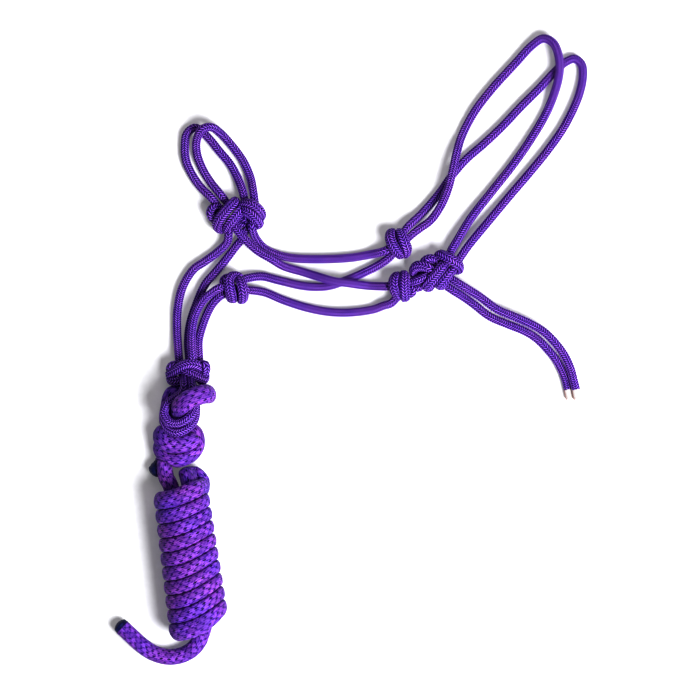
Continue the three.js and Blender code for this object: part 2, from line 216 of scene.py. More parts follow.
# The wraps that show on each knot, from one hidden end to the other
knot_wraps = {
    "near_nose_knot": [
        [(-147, 17, 5.5), (-141, 21, 6), (-134, 25, 6)],
        [(-122, 27, 5), (-123.5, 30.5, 10.5), (-128, 26, 17), (-133, 20.5, 18.5), (-138.5, 13.3, 17),
         (-140.5, 7.5, 11.5), (-136.5, 5.5, 6), (-130, 10, 5)],
        [(-117, 20, 5), (-117.5, 23.5, 11), (-121, 20.5, 16.5), (-126, 14, 18), (-130, 9, 15),
         (-131.5, 5.5, 9.5), (-127, 7, 5)],
        [(-138, 26, 8), (-144.5, 25, 10.5), (-146.8, 20.2, 11), (-144.5, 15.5, 9.5), (-138, 13, 7)]],
    "off_nose_knot": [
        [(-126, 13, 5.5), (-119, 11, 5.5), (-111, 12, 6)],
        [(-121, 17, 6), (-114, 14, 8), (-108, 15, 7)],
        [(-117, 23, 7), (-118, 28, 12), (-110, 27.5, 17.5), (-103.8, 23, 17), (-101, 17.5, 11.5),
         (-104, 14, 6)],
        [(-119, 19, 7), (-118, 22.3, 14), (-111.8, 20.2, 18), (-106.5, 15.6, 17.5), (-103.5, 11, 12.5),
         (-106, 9, 7), (-111, 12, 5)]],
    "jaw_knot": [
        [(-128, -41, 6), (-124.5, -47, 8), (-122, -54, 6)],
        [(-123, -55, 5), (-127.3, -57, 8.5), (-128.3, -53, 14.5), (-129.7, -46, 17.5), (-130, -40, 16),
         (-126.8, -36.2, 12.5), (-121.5, -36.8, 9.5), (-119, -42, 6)],
        [(-127, -38, 8), (-132.5, -38.2, 10.5), (-135, -41.5, 10.5), (-131, -47, 7)],
        [(-124, -40, 6), (-121, -39.5, 12), (-118.6, -43.5, 16.5), (-117, -50, 17.5), (-117, -55, 13.5),
         (-118.5, -57.5, 8), (-123, -54, 5)]],
    "off_cheek_knot": [
        [(18, 0, 5), (20.5, -4, 8), (23.5, -10, 7), (26, -14, 5)],
        [(18, 0, 5), (15.2, 2.6, 9.5), (14.2, -2, 15.5), (16.4, -8.5, 17.5), (20.3, -14.2, 16),
         (24.3, -17.3, 10.5), (23.5, -13, 5)],
        [(25, -1, 5), (23.4, 2.8, 10.5), (25.3, -2, 16.5), (27.7, -8, 17.5), (29.3, -13, 14.5),
         (27.8, -16.6, 9), (25, -12, 5)]],
    "near_cheek_knot": [
        [(22, -39, 6), (22.5, -45, 8), (23, -53, 6)],
        [(23, -39, 5), (20.4, -36, 9.5), (17.6, -39.5, 15.5), (17.2, -45.5, 17.5), (19.4, -51.3, 15),
         (22.5, -54.5, 9), (24, -49, 5)],
        [(27, -39, 5), (27.2, -34.8, 10.5), (27, -39.5, 16.5), (27, -46.5, 17.8), (27.4, -52.5, 15.5),
         (27.6, -55.8, 9), (26, -50, 5)],
        [(29, -44, 6), (33.4, -45.6, 8.5), (35, -49, 8.5), (32.5, -52, 7.5), (27, -50, 6)]],
    "tie_knot": [
        [(34, -36, 5), (42, -34, 7), (52, -31, 7)],
        [(43, -28, 6), (51, -26, 8), (58, -24, 7)],
        [(50, -40, 6), (58, -33, 9), (66, -27, 8)],
        [(47, -32, 8), (43.8, -27.5, 12), (45.8, -22.5, 13.5), (51, -20.8, 13.5), (55.5, -23.5, 12),
         (56, -29, 8)],
        [(38, -38, 7), (34.8, -33, 10), (36.8, -28.6, 13.5), (42.6, -27.6, 16.5), (48.8, -30, 17),
         (53.5, -34, 12)],
        [(66, -22, 8), (63.5, -25.2, 14), (60.5, -29, 18.5), (55.5, -35, 19.8), (50, -41, 18),
         (46, -45.5, 12), (48.5, -46, 6), (54, -40, 5)],
        [(72, -27, 7), (70.5, -30.6, 13), (67.2, -34.3, 17), (62.7, -39.8, 17.3), (59, -44, 12.5),
         (60.5, -45, 6), (64, -40, 5)],
        [(60, -24, 6), (57, -20, 9), (58.8, -16.8, 14), (64.5, -19.3, 19), (70.3, -22.6, 19.8),
         (75.3, -26, 16), (76.6, -29.6, 9), (72, -30, 5)]],
    "fiador_knot": [
        [(-177, -122, 6), (-168, -123, 8), (-158, -121, 7)],
        [(-180, -127, 6), (-183.3, -124.2, 11.5), (-178, -120.8, 16.5), (-171.8, -117.2, 19.5),
         (-164.6, -114.9, 20.5), (-158.6, -116, 18.5), (-154.6, -119.5, 12.5), (-157, -123, 7)],
        [(-160, -119, 9), (-155, -116, 14), (-151.5, -115.8, 16), (-150.4, -118.8, 15.5),
         (-152, -123.5, 13), (-157, -127, 8)],
        [(-175.5, -117.5, 13), (-170.6, -120.4, 17), (-164, -124.6, 19), (-157.5, -128, 17),
         (-152.5, -129.3, 11.5), (-151.5, -125.5, 7), (-156, -123, 5)],
        [(-171, -118, 8), (-176.8, -116, 11.5), (-181, -116.8, 12.5), (-182.8, -120.4, 11.5),
         (-179, -125, 7)],
        [(-179, -125.5, 5), (-182.6, -129, 9), (-178.3, -131, 13.5), (-172, -129.6, 14.5),
         (-166, -127, 10.5), (-160, -125, 7)]],
}

# The lead rope
lead_eye = [
    (-170.6, -163.5, 14), (-172.5, -160.5, 19.5), (-173.2, -157.1, 28.7), (-171.1, -152.2, 38.6),
    (-165, -147, 44), (-156, -143, 43), (-149.5, -141.5, 33), (-148.6, -142, 19), (-153.5, -142, 9.5),
    (-163, -141.5, LEAD_FLOOR), (-173, -140.8, LEAD_FLOOR), (-179, -141.2, 8), (-182, -145.5, 9),
    (-183.8, -154.5, LEAD_FLOOR), (-185, -164, 8)]
lead_eye_start = [(-171, -172, 10), (-174, -182, 9)]
lead_eye_end = [(-184, -173, 8.5), (-181, -182, 9)]
lead_knot = [
    (-168, -174, 8), (-161, -177, 9), (-159, -187, 10), (-165, -196, 15),
    (-176, -200.2, 17), (-187.5, -196.6, 13.5), (-191, -189, 9), (-184, -183, 8), (-174, -181, 8),
    (-182, -176, 8), (-190, -177, 12), (-188.5, -183, 18), (-180, -187, 21.5), (-169.5, -186.5, 21),
    (-163, -184, 16.5), (-164, -186, 9.5), (-171, -194, 7.5), (-180, -197.5, 7.5), (-188, -201, 7.5),
    (-190, -204, LEAD_FLOOR)]
lead_neck = [
    (-178, -187, 9), (-185, -197, 10), (-187.5, -205.5, 13.5), (-185.8, -217, 16), (-184, -220, 17),
    (-182.5, -222.6, 18), (-179.5, -232, 17.5), (-175, -248, 18), (-171.5, -274, 17.5)]
lead_stub = [(-192, -207, LEAD_FLOOR), (-194.8, -210, LEAD_FLOOR), (-198.5, -215, LEAD_FLOOR)]
lead_tail_start = [(-154, -336, 17), (-152.5, -345, 12.5), (-152.8, -351.5, 8.5)]
lead_tail = [
    (-154.5, -357, LEAD_FLOOR), (-157.5, -364.5, LEAD_FLOOR), (-163.5, -371.5, LEAD_FLOOR),
    (-173, -376.5, LEAD_FLOOR), (-185, -378, LEAD_FLOOR), (-198, -374.5, LEAD_FLOOR),
    (-208, -368, LEAD_FLOOR), (-218, -359, LEAD_FLOOR), (-226, -351.5, LEAD_FLOOR)]
LEAD_TIP_LENGTH = 6.0
WHIPPING_LEAN = 2.2     # how far a whipping's end lies to the right of its start

# What the wraps of the lead rope go round, as the two ends of a stretch, or one point twice
around_loop = [(-170, -150, 20), (-170, -150, 20)]
around_knot = [(-176, -188, LEAD_FLOOR), (-176, -188, LEAD_FLOOR)]

# The hank: its middle line, and the wraps round it
hank_top = np.array([-172.8, -229.0])
hank_bottom = np.array([-156.5, -347.0])
HANK_WIDTH = 50.0       # at the top, growing towards the bottom by the next value
HANK_WIDENING = 4.5
HANK_HEIGHT = 46.0
HANK_TURNS = 10
HANK_STEPS = 16         # points for each turn
LAST_TURN = 0.8         # the share of the last turn that is wound
FIRST_WRAP = 6.9        # along the middle line, at the left edge
WRAP_PITCH = 12.74
CLIMB_FIRST = 8.0       # how far the front of a wrap climbs from left to right, first and last
CLIMB_LAST = 15.5
around_hank = [(*hank_top, HANK_HEIGHT / 2), (*hank_bottom, HANK_HEIGHT / 2)]

# ---------------------------------------------------------------- camera and light

# In metres
VIEW_CENTRE = (-0.0216, -0.1026)
VIEW_WIDTH = 0.63
CAMERA_HEIGHT = 2.6
FLOOR_REACH = 6

KEY_LIGHT = {"place": (1.0, -0.95, 1.65), "size": 1.1, "watts": 82, "color": (0.97, 0.98, 1.0)}
FILL_LIGHT = {"place": (0.2, 1.2, 1.6), "size": 1.2, "watts": 7, "color": (1.0, 0.92, 0.97)}
WORLD_STRENGTH = 0.15
FLOOR_GLOW = 0.10
EXPOSURE = 0.50
GAMMA = 0.74


def make_camera():
    """A long lens straight above, with +Y up in the picture."""
    camera = bpy.data.cameras.new("camera")
    camera.sensor_width = 36
    camera.lens = camera.sensor_width * CAMERA_HEIGHT / VIEW_WIDTH
    camera.clip_end = 20
    holder = bpy.data.objects.new("camera", camera)
    holder.location = (*VIEW_CENTRE, CAMERA_HEIGHT)
    bpy.context.scene.collection.objects.link(holder)
    bpy.context.scene.camera = holder


def make_light(name, place, size, watts, color):
    """A round lamp that points at the middle of the view."""
    light = bpy.data.lights.new(name, "AREA")
    light.shape = "DISK"
    light.size = size
    light.energy = watts
    light.color = color
    holder = bpy.data.objects.new(name, light)
    holder.location = place
    aim = np.array([*VIEW_CENTRE, 0]) - np.array(place)
    holder.rotation_mode = "QUATERNION"
    holder.rotation_quaternion = Vector(aim).to_track_quat("-Z", "Y")
    bpy.context.scene.collection.objects.link(holder)


def make_studio():
    """A strong light at the picture's lower right, a weak one at its top, and a high-contrast view."""
    make_light("key_light", **KEY_LIGHT)
    make_light("fill_light", **FILL_LIGHT)
    world = bpy.data.worlds.new("studio")
    world.use_nodes = True
    sky = world.node_tree.nodes["Background"]
    sky.inputs["Color"].default_value = (1, 1, 1, 1)
    sky.inputs["Strength"].default_value = WORLD_STRENGTH
    bpy.context.scene.world = world
    view = bpy.context.scene.view_settings
    view.view_transform = "Standard"
    view.exposure = EXPOSURE
    view.gamma = GAMMA


# ---------------------------------------------------------------- lines

def unit(vectors):
    """Each vector again, with length one."""
    return vectors / np.maximum(np.linalg.norm(vectors, axis=-1, keepdims=True), 1e-9)


def distance_along(line):
    """How far along the line each of its points is."""
    return np.concatenate([[0], np.cumsum(np.linalg.norm(np.diff(line, axis=0), axis=1))])


def evenly(line, step):
    """The line again, with points a step apart."""
    along = distance_along(line)
    at = np.linspace(0, along[-1], max(3, round(along[-1] / step) + 1))
    return np.stack([np.interp(at, along, line[:, k]) for k in range(3)], axis=1)


def smooth_line(points, step, lowest):
    """A centripetal Catmull-Rom line through the points that stays above the floor."""
    p = np.array(points, float)
    p = np.vstack([2 * p[0] - p[1], p, 2 * p[-1] - p[-2]])
    times = np.concatenate([[0], np.cumsum(np.linalg.norm(np.diff(p, axis=0), axis=1) ** 0.5)])
    parts = []
    for i in range(1, len(p) - 2):
        t0, t1, t2, t3 = times[i - 1:i + 3]
        t = np.linspace(t1, t2, SPAN_POINTS, endpoint=False)[:, None]
        a = ((t1 - t) * p[i - 1] + (t - t0) * p[i]) / (t1 - t0)
        b = ((t2 - t) * p[i] + (t - t1) * p[i + 1]) / (t2 - t1)
        c = ((t3 - t) * p[i + 1] + (t - t2) * p[i + 2]) / (t3 - t2)
        d = ((t2 - t) * a + (t - t0) * b) / (t2 - t0)
        e = ((t3 - t) * b + (t - t1) * c) / (t3 - t1)
        parts.append(((t2 - t) * d + (t - t1) * e) / (t2 - t1))
    line = np.vstack(parts + [p[-2:-1]])
    line[:, 2] = np.maximum(line[:, 2], lowest)
    return evenly(line, step)


def frames_along(line):
    """Two directions across the line at each point, carried along without twist."""
    tangent = unit(np.gradient(line, axis=0))
    side = np.zeros_like(line)
    first = np.cross(tangent[0], (0, 0, 1))
    if np.linalg.norm(first) < 0.1:
        first = np.array([1.0, 0, 0])
    side[0] = unit(first - tangent[0] * (first @ tangent[0]))
    for i in range(1, len(line)):
        carried = side[i - 1] - tangent[i] * (side[i - 1] @ tangent[i])
        side[i] = carried / np.linalg.norm(carried)
    return tangent, side, np.cross(tangent, side)


# ---------------------------------------------------------------- ropes

all_ropes = []


def add_rope(piece, points, diameter, braid, spread=1.0, core=None, round_end=False):
    """Notes down one rope, to be given its surface when all of them are known.

    A wrap is wider than the free rope. Its core is what it goes round, as the two ends of a stretch.
    """
    line = smooth_line(points, braid["step"], diameter / 2 * LOWEST)
    all_ropes.append({"piece": piece, "line": line, "radius": diameter / 2, "braid": braid,
                      "spread": spread, "core": core, "round_end": round_end})


def halter_height(u, v):
    """Height of a plaited cover's stitches, 0 to 1: slanting bars whose slant alternates by column."""
    column = u * HALTER_BRAID["columns"]
    across = 2 * (column % 1) - 1
    slant = 1 - 2 * (np.floor(column) % 2)
    row = v / HALTER_BRAID["pitch"] + slant * across * HALTER_BRAID["slope"] / 2
    bar = 0.5 + 0.5 * np.cos(2 * np.pi * row)
    return bar ** HALTER_BRAID["fullness"] * (1 - HALTER_BRAID["edge_dip"] * across ** 4)


def lead_height(u, v):
    """Height of a solid braid's stitches, 0 to 1: two sets of leaves, one of them half a leaf on."""
    best = np.zeros(np.broadcast(u, v).shape)
    for odd in (0, 1):
        across = (u * LEAD_BRAID["columns"] + 1 + odd) % 2 - 1
        along = 2 * ((v / LEAD_BRAID["pitch"] + odd / 2 + STITCH_LEAN * across) % 1) - 1
        half_width = STITCH_TIP + STITCH_BELLY * np.sqrt(np.maximum(1 - along ** 2, 0))
        best = np.maximum(best, 1 - (across / half_width) ** 2)
    return np.sqrt(best)


def whipping_height(u, v):
    """Height of thread wound round an end, 0 to 1: the same all round."""
    return 0.5 + 0.5 * np.cos(2 * np.pi * v / WHIPPING["pitch"])


def seal_height(u, v):
    """Height of a melted end, 0 to 1: a few soft lumps."""
    round_it = np.cos(2 * np.pi * u * SEAL["columns"])
    along_it = np.cos(2 * np.pi * v / SEAL["pitch"])
    return 0.5 + 0.25 * round_it + 0.25 * along_it


def free_radius(rope, out, tangent):
    """The radius in each direction where nothing presses on it: a wrap is wide along its core."""
    if rope["core"] is None:
        return np.full(out.shape[:2], rope["radius"])
    start, end = np.array(rope["core"], float)
    run = end - start
    share = np.clip((rope["line"] - start) @ run / max(run @ run, 1e-6), 0, 1)
    away = rope["line"] - start - share[:, None] * run
    away = unit(away - tangent * (away * tangent).sum(1, keepdims=True))
    upright = (out * away[:, None]).sum(2) ** 2
    return rope["radius"] / np.sqrt(upright + (1 - upright) / rope["spread"] ** 2)


def limit_by_contact(rope, out, centres, radii):
    """How far each point may stand out before it is nearer to another rope, or to another turn."""
    line = rope["line"]
    limit = np.full(out.shape[:2], FREE)
    own = rope["radius"]
    for start in range(0, len(line), CHUNK):
        some = slice(start, start + CHUNK)
        gap = np.linalg.norm(line[some, None] - centres[None], axis=2)
        gap[gap < SAME_STRETCH] = FREE
        reach = gap - radii[None]
        nearest = np.argsort(reach, axis=1)[:, :NEIGHBOURS]
        to = centres[nearest] - line[some, None]
        power = (to ** 2).sum(2) + own ** 2 - radii[nearest] ** 2
        toward = np.einsum("isk,ijk->isj", out[some], to)
        halfway = power[:, None] / (2 * np.maximum(toward, FACING))
        allowed = np.where(toward > FACING, halfway, FREE)
        close = np.take_along_axis(reach, nearest, axis=1) < CONTACT_REACH * own
        limit[some] = np.where(close[:, None], allowed, FREE).min(2)
    return np.maximum(limit - CONTACT_GAP, THINNEST * own)


def limit_by_floor(rope, out):
    """How far each point may stand out before it is under the floor."""
    down = -out[:, :, 2]
    to_floor = (rope["line"][:, 2:3] - FLOOR_GAP) / np.maximum(down, FACING)
    limit = np.where(down > FACING, to_floor, FREE)
    return np.maximum(limit, THINNEST * rope["radius"])


HEIGHTS = {"halter_braid": halter_height, "lead_braid": lead_height, "whipping": whipping_height,
           "lead_seal": seal_height}


def surface_of(rope, centres, radii):
    """The rope's rings of points, and the distance along it of each ring."""
    line = rope["line"]
    tangent, side, up = frames_along(line)
    angle = 2 * np.pi * np.arange(SIDES) / SIDES
    cosines = np.cos(angle)[None, :, None]
    sines = np.sin(angle)[None, :, None]
    out = side[:, None] * cosines + up[:, None] * sines
    radius = free_radius(rope, out, tangent)
    limit = np.minimum(limit_by_contact(rope, out, centres, radii), limit_by_floor(rope, out))
    radius = (radius ** -SQUEEZE_POWER + limit ** -SQUEEZE_POWER) ** (-1 / SQUEEZE_POWER)
    along = distance_along(line)
    height = HEIGHTS[rope["braid"]["slot"]](angle[None] / (2 * np.pi), along[:, None])
    radius = radius - rope["braid"]["depth"] * (1 - height)
    if rope["round_end"]:
        share = np.clip((along[-1] - along) / (rope["radius"] * ROUNDING), 0, 1)
        radius = radius * np.sqrt(np.maximum(1 - (1 - share) ** 2, ROUND_TIP))[:, None]
    return line[:, None] + out * radius[:, :, None], along


def tube_faces(rings, first):
    """Quads between rings, and a fan of triangles over each end."""
    ring = np.arange(rings - 1)[:, None] * SIDES
    k = np.arange(SIDES)[None]
    after = (k + 1) % SIDES
    onward = ring + SIDES
    quads = np.stack([ring + k, ring + after, onward + after, onward + k], axis=2).reshape(-1, 4)
    k, after = k[0], after[0]
    last = (rings - 1) * SIDES
    start = np.stack([np.full(SIDES, rings * SIDES), after, k], axis=1)
    end = np.stack([np.full(SIDES, rings * SIDES + 1), last + k, last + after], axis=1)
    return quads + first, np.vstack([start, end]) + first


def tube_map(along):
    """Place along and round the rope, for the corners of its quads and of the triangles at its ends."""
    k = np.tile(np.arange(SIDES), len(along) - 1)
    i = np.repeat(np.arange(len(along) - 1), SIDES)
    round_ = np.stack([k, k + 1, k + 1, k], axis=1) / SIDES
    place = np.stack([along[i], along[i], along[i + 1], along[i + 1]], axis=1)
    caps = np.zeros((2 * SIDES, 3, 2))
    caps[SIDES:, :, 0] = along[-1]
    return np.stack([place, round_], axis=2).reshape(-1, 2), caps.reshape(-1, 2)


def make_piece(name, ropes, material, centres, radii):
    """One mesh object from its ropes, with a map that gives place along and round the rope."""
    points = []
    quads = []
    triangles = []
    quad_maps = []
    triangle_maps = []
    first = 0
    for rope in ropes:
        rings, along = surface_of(rope, centres, radii)
        points += [rings.reshape(-1, 3), rope["line"][[0, -1]]]
        walls, caps = tube_faces(len(rings), first)
        quads.append(walls)
        triangles.append(caps)
        wall_map, cap_map = tube_map(along)
        quad_maps.append(wall_map)
        triangle_maps.append(cap_map)
        first += len(rings) * SIDES + 2
    mesh = bpy.data.meshes.new(name)
    faces = np.vstack(quads).tolist() + np.vstack(triangles).tolist()
    mesh.from_pydata((np.vstack(points) * MM).tolist(), [], faces)
    uv = np.vstack(quad_maps + triangle_maps)
    mesh.uv_layers.new(name="along_and_round").data.foreach_set("uv", uv.ravel())
    mesh.polygons.foreach_set("use_smooth", [True] * len(faces))
    mesh.materials.append(material)
    mesh.update()
    piece = bpy.data.objects.new(name, mesh)
    bpy.context.scene.collection.objects.link(piece)
    return piece


# ---------------------------------------------------------------- materials

class Shader:
    """A short way to write a material's node tree."""

    def __init__(self, name, **settings):
        self.material = bpy.data.materials.new(name)
        self.material.use_nodes = True
        self.tree = self.material.node_tree
        self.surface = self.tree.nodes["Principled BSDF"]
        for socket, value in settings.items():
            self.surface.inputs[socket.replace("_", " ")].default_value = value

    def put(self, socket, value):
        if isinstance(value, bpy.types.NodeSocket):
            self.tree.links.new(value, socket)
        else:
            socket.default_value = value

    def math(self, operation, *values):
        node = self.tree.nodes.new("ShaderNodeMath")
        node.operation = operation
        for socket, value in zip(node.inputs, values):
            self.put(socket, value)
        return node.outputs[0]

    def ramp(self, value, *stops):
        node = self.tree.nodes.new("ShaderNodeValToRGB")
        self.put(node.inputs[0], value)
        ramp = node.color_ramp
        while len(ramp.elements) < len(stops):
            ramp.elements.new(1)
        for element, (place, color) in zip(ramp.elements, stops):
            element.position = place
            element.color = (*color, 1)
        return node.outputs[0]

    def mix(self, share, a, b, blend="MIX"):
        node = self.tree.nodes.new("ShaderNodeMix")
        node.data_type = "RGBA"
        node.blend_type = blend
        self.put(node.inputs[0], share)
        self.put(node.inputs[6], a)
        self.put(node.inputs[7], b)
        return node.outputs[2]

    def noise(self, scale, detail=2.0, vector=None):
        node = self.tree.nodes.new("ShaderNodeTexNoise")
        node.inputs["Scale"].default_value = scale
        node.inputs["Detail"].default_value = detail
        self.put(node.inputs["Vector"], vector or self.place())
        return node.outputs[0]

    def place(self):
        node = self.tree.nodes.new("ShaderNodeTexCoord")
        return node.outputs["Object"]

    def rope_map(self):
        """Place along the rope in millimetres, and round it from 0 to 1."""
        node = self.tree.nodes.new("ShaderNodeUVMap")
        node.uv_map = "along_and_round"
        split = self.tree.nodes.new("ShaderNodeSeparateXYZ")
        self.put(split.inputs[0], node.outputs[0])
        return split.outputs[0], split.outputs[1]

    def combine(self, x, y):
        node = self.tree.nodes.new("ShaderNodeCombineXYZ")
        self.put(node.inputs[0], x)
        self.put(node.inputs[1], y)
        return node.outputs[0]

    def cell(self, x, y):
        """A random number from 0 to 1 for each whole pair x, y."""
        node = self.tree.nodes.new("ShaderNodeTexWhiteNoise")
        node.noise_dimensions = "2D"
        self.put(node.inputs["Vector"], self.combine(x, y))
        return node.outputs["Value"]

    def bump(self, height, strength, distance):
        node = self.tree.nodes.new("ShaderNodeBump")
        node.inputs["Strength"].default_value = strength
        node.inputs["Distance"].default_value = distance
        self.put(node.inputs["Height"], height)
        self.put(self.surface.inputs["Normal"], node.outputs[0])


def halter_material():
    """Plaited cover: violet stitches with near-black indigo painted shade in the gaps between them, and
    fine fibres along each stitch.
    """
    s = Shader("halter_braid", Roughness=0.55, Sheen_Weight=0.02, Sheen_Roughness=0.4,
               Specular_IOR_Level=0.15)
    along, round_ = s.rope_map()
    column = s.math("MULTIPLY", round_, HALTER_BRAID["columns"])
    across = s.math("SUBTRACT", s.math("MULTIPLY", s.math("FRACT", column), 2), 1)
    parity = s.math("MODULO", s.math("FLOOR", column), 2)
    slant = s.math("SUBTRACT", 1, s.math("MULTIPLY", parity, 2))
    lean = s.math("MULTIPLY", s.math("MULTIPLY", slant, across), HALTER_BRAID["slope"] / 2)
    bars = s.math("ADD", s.math("DIVIDE", along, HALTER_BRAID["pitch"]), lean)
    wave = s.math("COSINE", s.math("MULTIPLY", bars, 2 * math.pi))
    bar = s.math("POWER", s.math("ADD", s.math("MULTIPLY", wave, 0.5), 0.5), HALTER_BRAID["fullness"])
    dip = s.math("MULTIPLY", s.math("POWER", s.math("ABSOLUTE", across), 4), HALTER_BRAID["edge_dip"])
    height = s.math("MULTIPLY", bar, s.math("SUBTRACT", 1, dip))
    stitch = s.cell(s.math("ROUND", bars), s.math("FLOOR", column))
    # Painted shade: the lower a point lies in the stitches' relief, the darker its colour, near black in
    # the gaps between them.
    stitches = s.ramp(height, (0.22, (0.0005, 0.0002, 0.008)), (0.50, (0.014, 0.0014, 0.110)),
                      (0.76, (0.150, 0.028, 0.460)), (1.0, (0.540, 0.230, 0.980)))
    darker = s.mix(s.math("MULTIPLY", stitch, HALTER_SHADES), stitches, (0.040, 0.005, 0.150, 1))
    tint = s.ramp(s.noise(55, 3), (0.35, (0.85, 0.80, 1.0)), (0.65, (1.0, 0.95, 0.97)))
    s.put(s.surface.inputs["Base Color"], s.mix(1.0, darker, tint, "MULTIPLY"))
    fibre_place = s.combine(s.math("MULTIPLY", bars, FIBRES_ALONG),
                            s.math("MULTIPLY", column, FIBRES_ACROSS))
    fibres = s.noise(1.0, 2, fibre_place)
    s.bump(s.math("ADD", height, s.math("MULTIPLY", fibres, 0.5)), strength=0.55, distance=0.0004)
    return s.material


def lead_stitches(s, along, round_, odd):
    """One of the lead's two sets of stitches: its height, the openings at their tips that are painted
    dark as shade, and a random number for each.
    """
    column = s.math("ADD", s.math("MULTIPLY", round_, LEAD_BRAID["columns"]), 1 + odd)
    across = s.math("SUBTRACT", s.math("MODULO", column, 2), 1)
    aside = s.math("ABSOLUTE", across)
    lean = s.math("MULTIPLY", across, STITCH_LEAN)
    row = s.math("ADD", s.math("DIVIDE", along, LEAD_BRAID["pitch"]), s.math("ADD", odd / 2, lean))
    run = s.math("SUBTRACT", s.math("MULTIPLY", s.math("FRACT", row), 2), 1)
    belly = s.math("SQRT", s.math("MAXIMUM", s.math("SUBTRACT", 1, s.math("MULTIPLY", run, run)), 0))
    width = s.math("ADD", STITCH_TIP, s.math("MULTIPLY", belly, STITCH_BELLY))
    leaf = s.math("SUBTRACT", 1, s.math("POWER", s.math("DIVIDE", aside, width), 2))
    number = s.math("ADD", s.math("FLOOR", s.math("DIVIDE", column, 2)), odd * SET_OFFSET)
    random = s.cell(s.math("FLOOR", row), number)
    from_tip = s.math("SUBTRACT", 1, s.math("ABSOLUTE", run))
    beside = s.math("POWER", s.math("DIVIDE", aside, HOLE_WIDTH), 2)
    beyond = s.math("POWER", s.math("DIVIDE", from_tip, HOLE_LENGTH), 2)
    hole = s.math("SUBTRACT", s.math("SUBTRACT", 1, beside), beyond)
    return leaf, s.math("SUBTRACT", hole, s.math("MULTIPLY", random, HOLE_SPREAD)), random


def lead_material():
    """Solid braid: leaf-shaped purple stitches of soft yarn, with near-black painted shade in the
    openings at their tips and in the creases between them.
    """
    s = Shader("lead_braid", Roughness=0.65, Sheen_Weight=0.03, Sheen_Roughness=0.45,
               Specular_IOR_Level=0.15)
    along, round_ = s.rope_map()
    leaf, hole, random = lead_stitches(s, along, round_, 0)
    other_leaf, other_hole, other_random = lead_stitches(s, along, round_, 1)
    over = s.math("GREATER_THAN", other_leaf, leaf)
    shade = s.math("ADD", s.math("MULTIPLY", over, other_random),
                   s.math("MULTIPLY", s.math("SUBTRACT", 1, over), random))
    # Painted shade in the crease where two stitches meet and in the opening at each stitch's tip; both
    # also dip the bump.
    apart = s.math("DIVIDE", s.math("ABSOLUTE", s.math("SUBTRACT", other_leaf, leaf)), SEAM_WIDTH)
    seam = s.math("ADD", 1 - SEAM_SHADE, s.math("MULTIPLY", s.math("MINIMUM", apart, 1), SEAM_SHADE))
    open_ = s.math("SQRT", s.math("MAXIMUM", s.math("MAXIMUM", hole, other_hole), 0))
    stitch = s.math("SQRT", s.math("MAXIMUM", s.math("MAXIMUM", other_leaf, leaf), 0))
    height = s.math("MULTIPLY", s.math("MULTIPLY", stitch, s.math("SUBTRACT", 1, open_)), seam)
    streak_place = s.combine(s.math("MULTIPLY", along, STREAKS_ALONG),
                             s.math("MULTIPLY", round_, STREAKS_ROUND))
    streaks = s.math("SUBTRACT", s.noise(1.0, 3, streak_place), 0.5)
    shown = s.math("ADD", height, s.math("MULTIPLY", streaks, STREAK_DEPTH))
    # Painted shade: the lower a point lies in this height, the darker its colour, near black in the
    # creases and openings.
    stitches = s.ramp(shown, (0.20, (0.0003, 0.0002, 0.004)), (0.55, (0.010, 0.0008, 0.095)),
                      (0.78, (0.074, 0.008, 0.280)), (0.98, (0.280, 0.085, 0.520)))
    varied = s.mix(s.math("MULTIPLY", shade, LEAD_SHADES), stitches, (0.022, 0.0012, 0.120, 1))
    tint = s.ramp(s.noise(38, 3), (0.35, (0.75, 0.80, 1.05)), (0.65, (1.05, 0.92, 0.92)))
    s.put(s.surface.inputs["Base Color"], s.mix(1.0, varied, tint, "MULTIPLY"))
    s.bump(s.math("ADD", height, streaks), strength=0.5, distance=0.0008)
    return s.material


def whipping_material():
    """White thread wound round the rope's end, with copper-tinted painted shade along its two sides and
    painted shade in the grooves between its turns.
    """
    s = Shader("whipping", Roughness=0.45, Sheen_Weight=0.1)
    along, round_ = s.rope_map()
    wave = s.math("COSINE", s.math("MULTIPLY", along, 2 * math.pi / WHIPPING["pitch"]))
    thread = s.math("ADD", s.math("MULTIPLY", wave, 0.5), 0.5)
    side = s.math("ABSOLUTE", s.math("COSINE", s.math("MULTIPLY", round_, 2 * math.pi)))
    # Painted shade in the grooves between the thread's turns, mixed with random wear.
    groove_shade_and_wear = s.math("ADD", s.math("MULTIPLY", thread, 0.7), s.math("MULTIPLY", s.noise(900), 0.3))
    white = s.ramp(groove_shade_and_wear, (0.0, (0.42, 0.36, 0.34)), (0.6, (0.66, 0.62, 0.60)), (1.0, (0.78, 0.75, 0.73)))
    # Painted shade: a copper-tinted darkening along the rope's two sides, as seen from above.
    painted_side_shade = s.ramp(side, (0.0, (0, 0, 0)), (0.80, (0, 0, 0)), (0.92, (1, 1, 1)))
    s.put(s.surface.inputs["Base Color"], s.mix(painted_side_shade, white, (0.45, 0.13, 0.08, 1)))
    s.bump(thread, strength=0.6, distance=0.0002)
    return s.material


def seal_material():
    """A melted rope end: dark blue, mottled and slightly glossy."""
    s = Shader("lead_seal", Roughness=0.5, Specular_IOR_Level=0.12)
    mottle = s.noise(420, 4)
    blue = s.ramp(mottle, (0.3, (0.002, 0.002, 0.018)), (0.6, (0.008, 0.012, 0.080)),
                  (0.8, (0.020, 0.045, 0.130)))
    s.put(s.surface.inputs["Base Color"], blue)
    s.bump(mottle, strength=0.5, distance=0.0006)
    return s.material


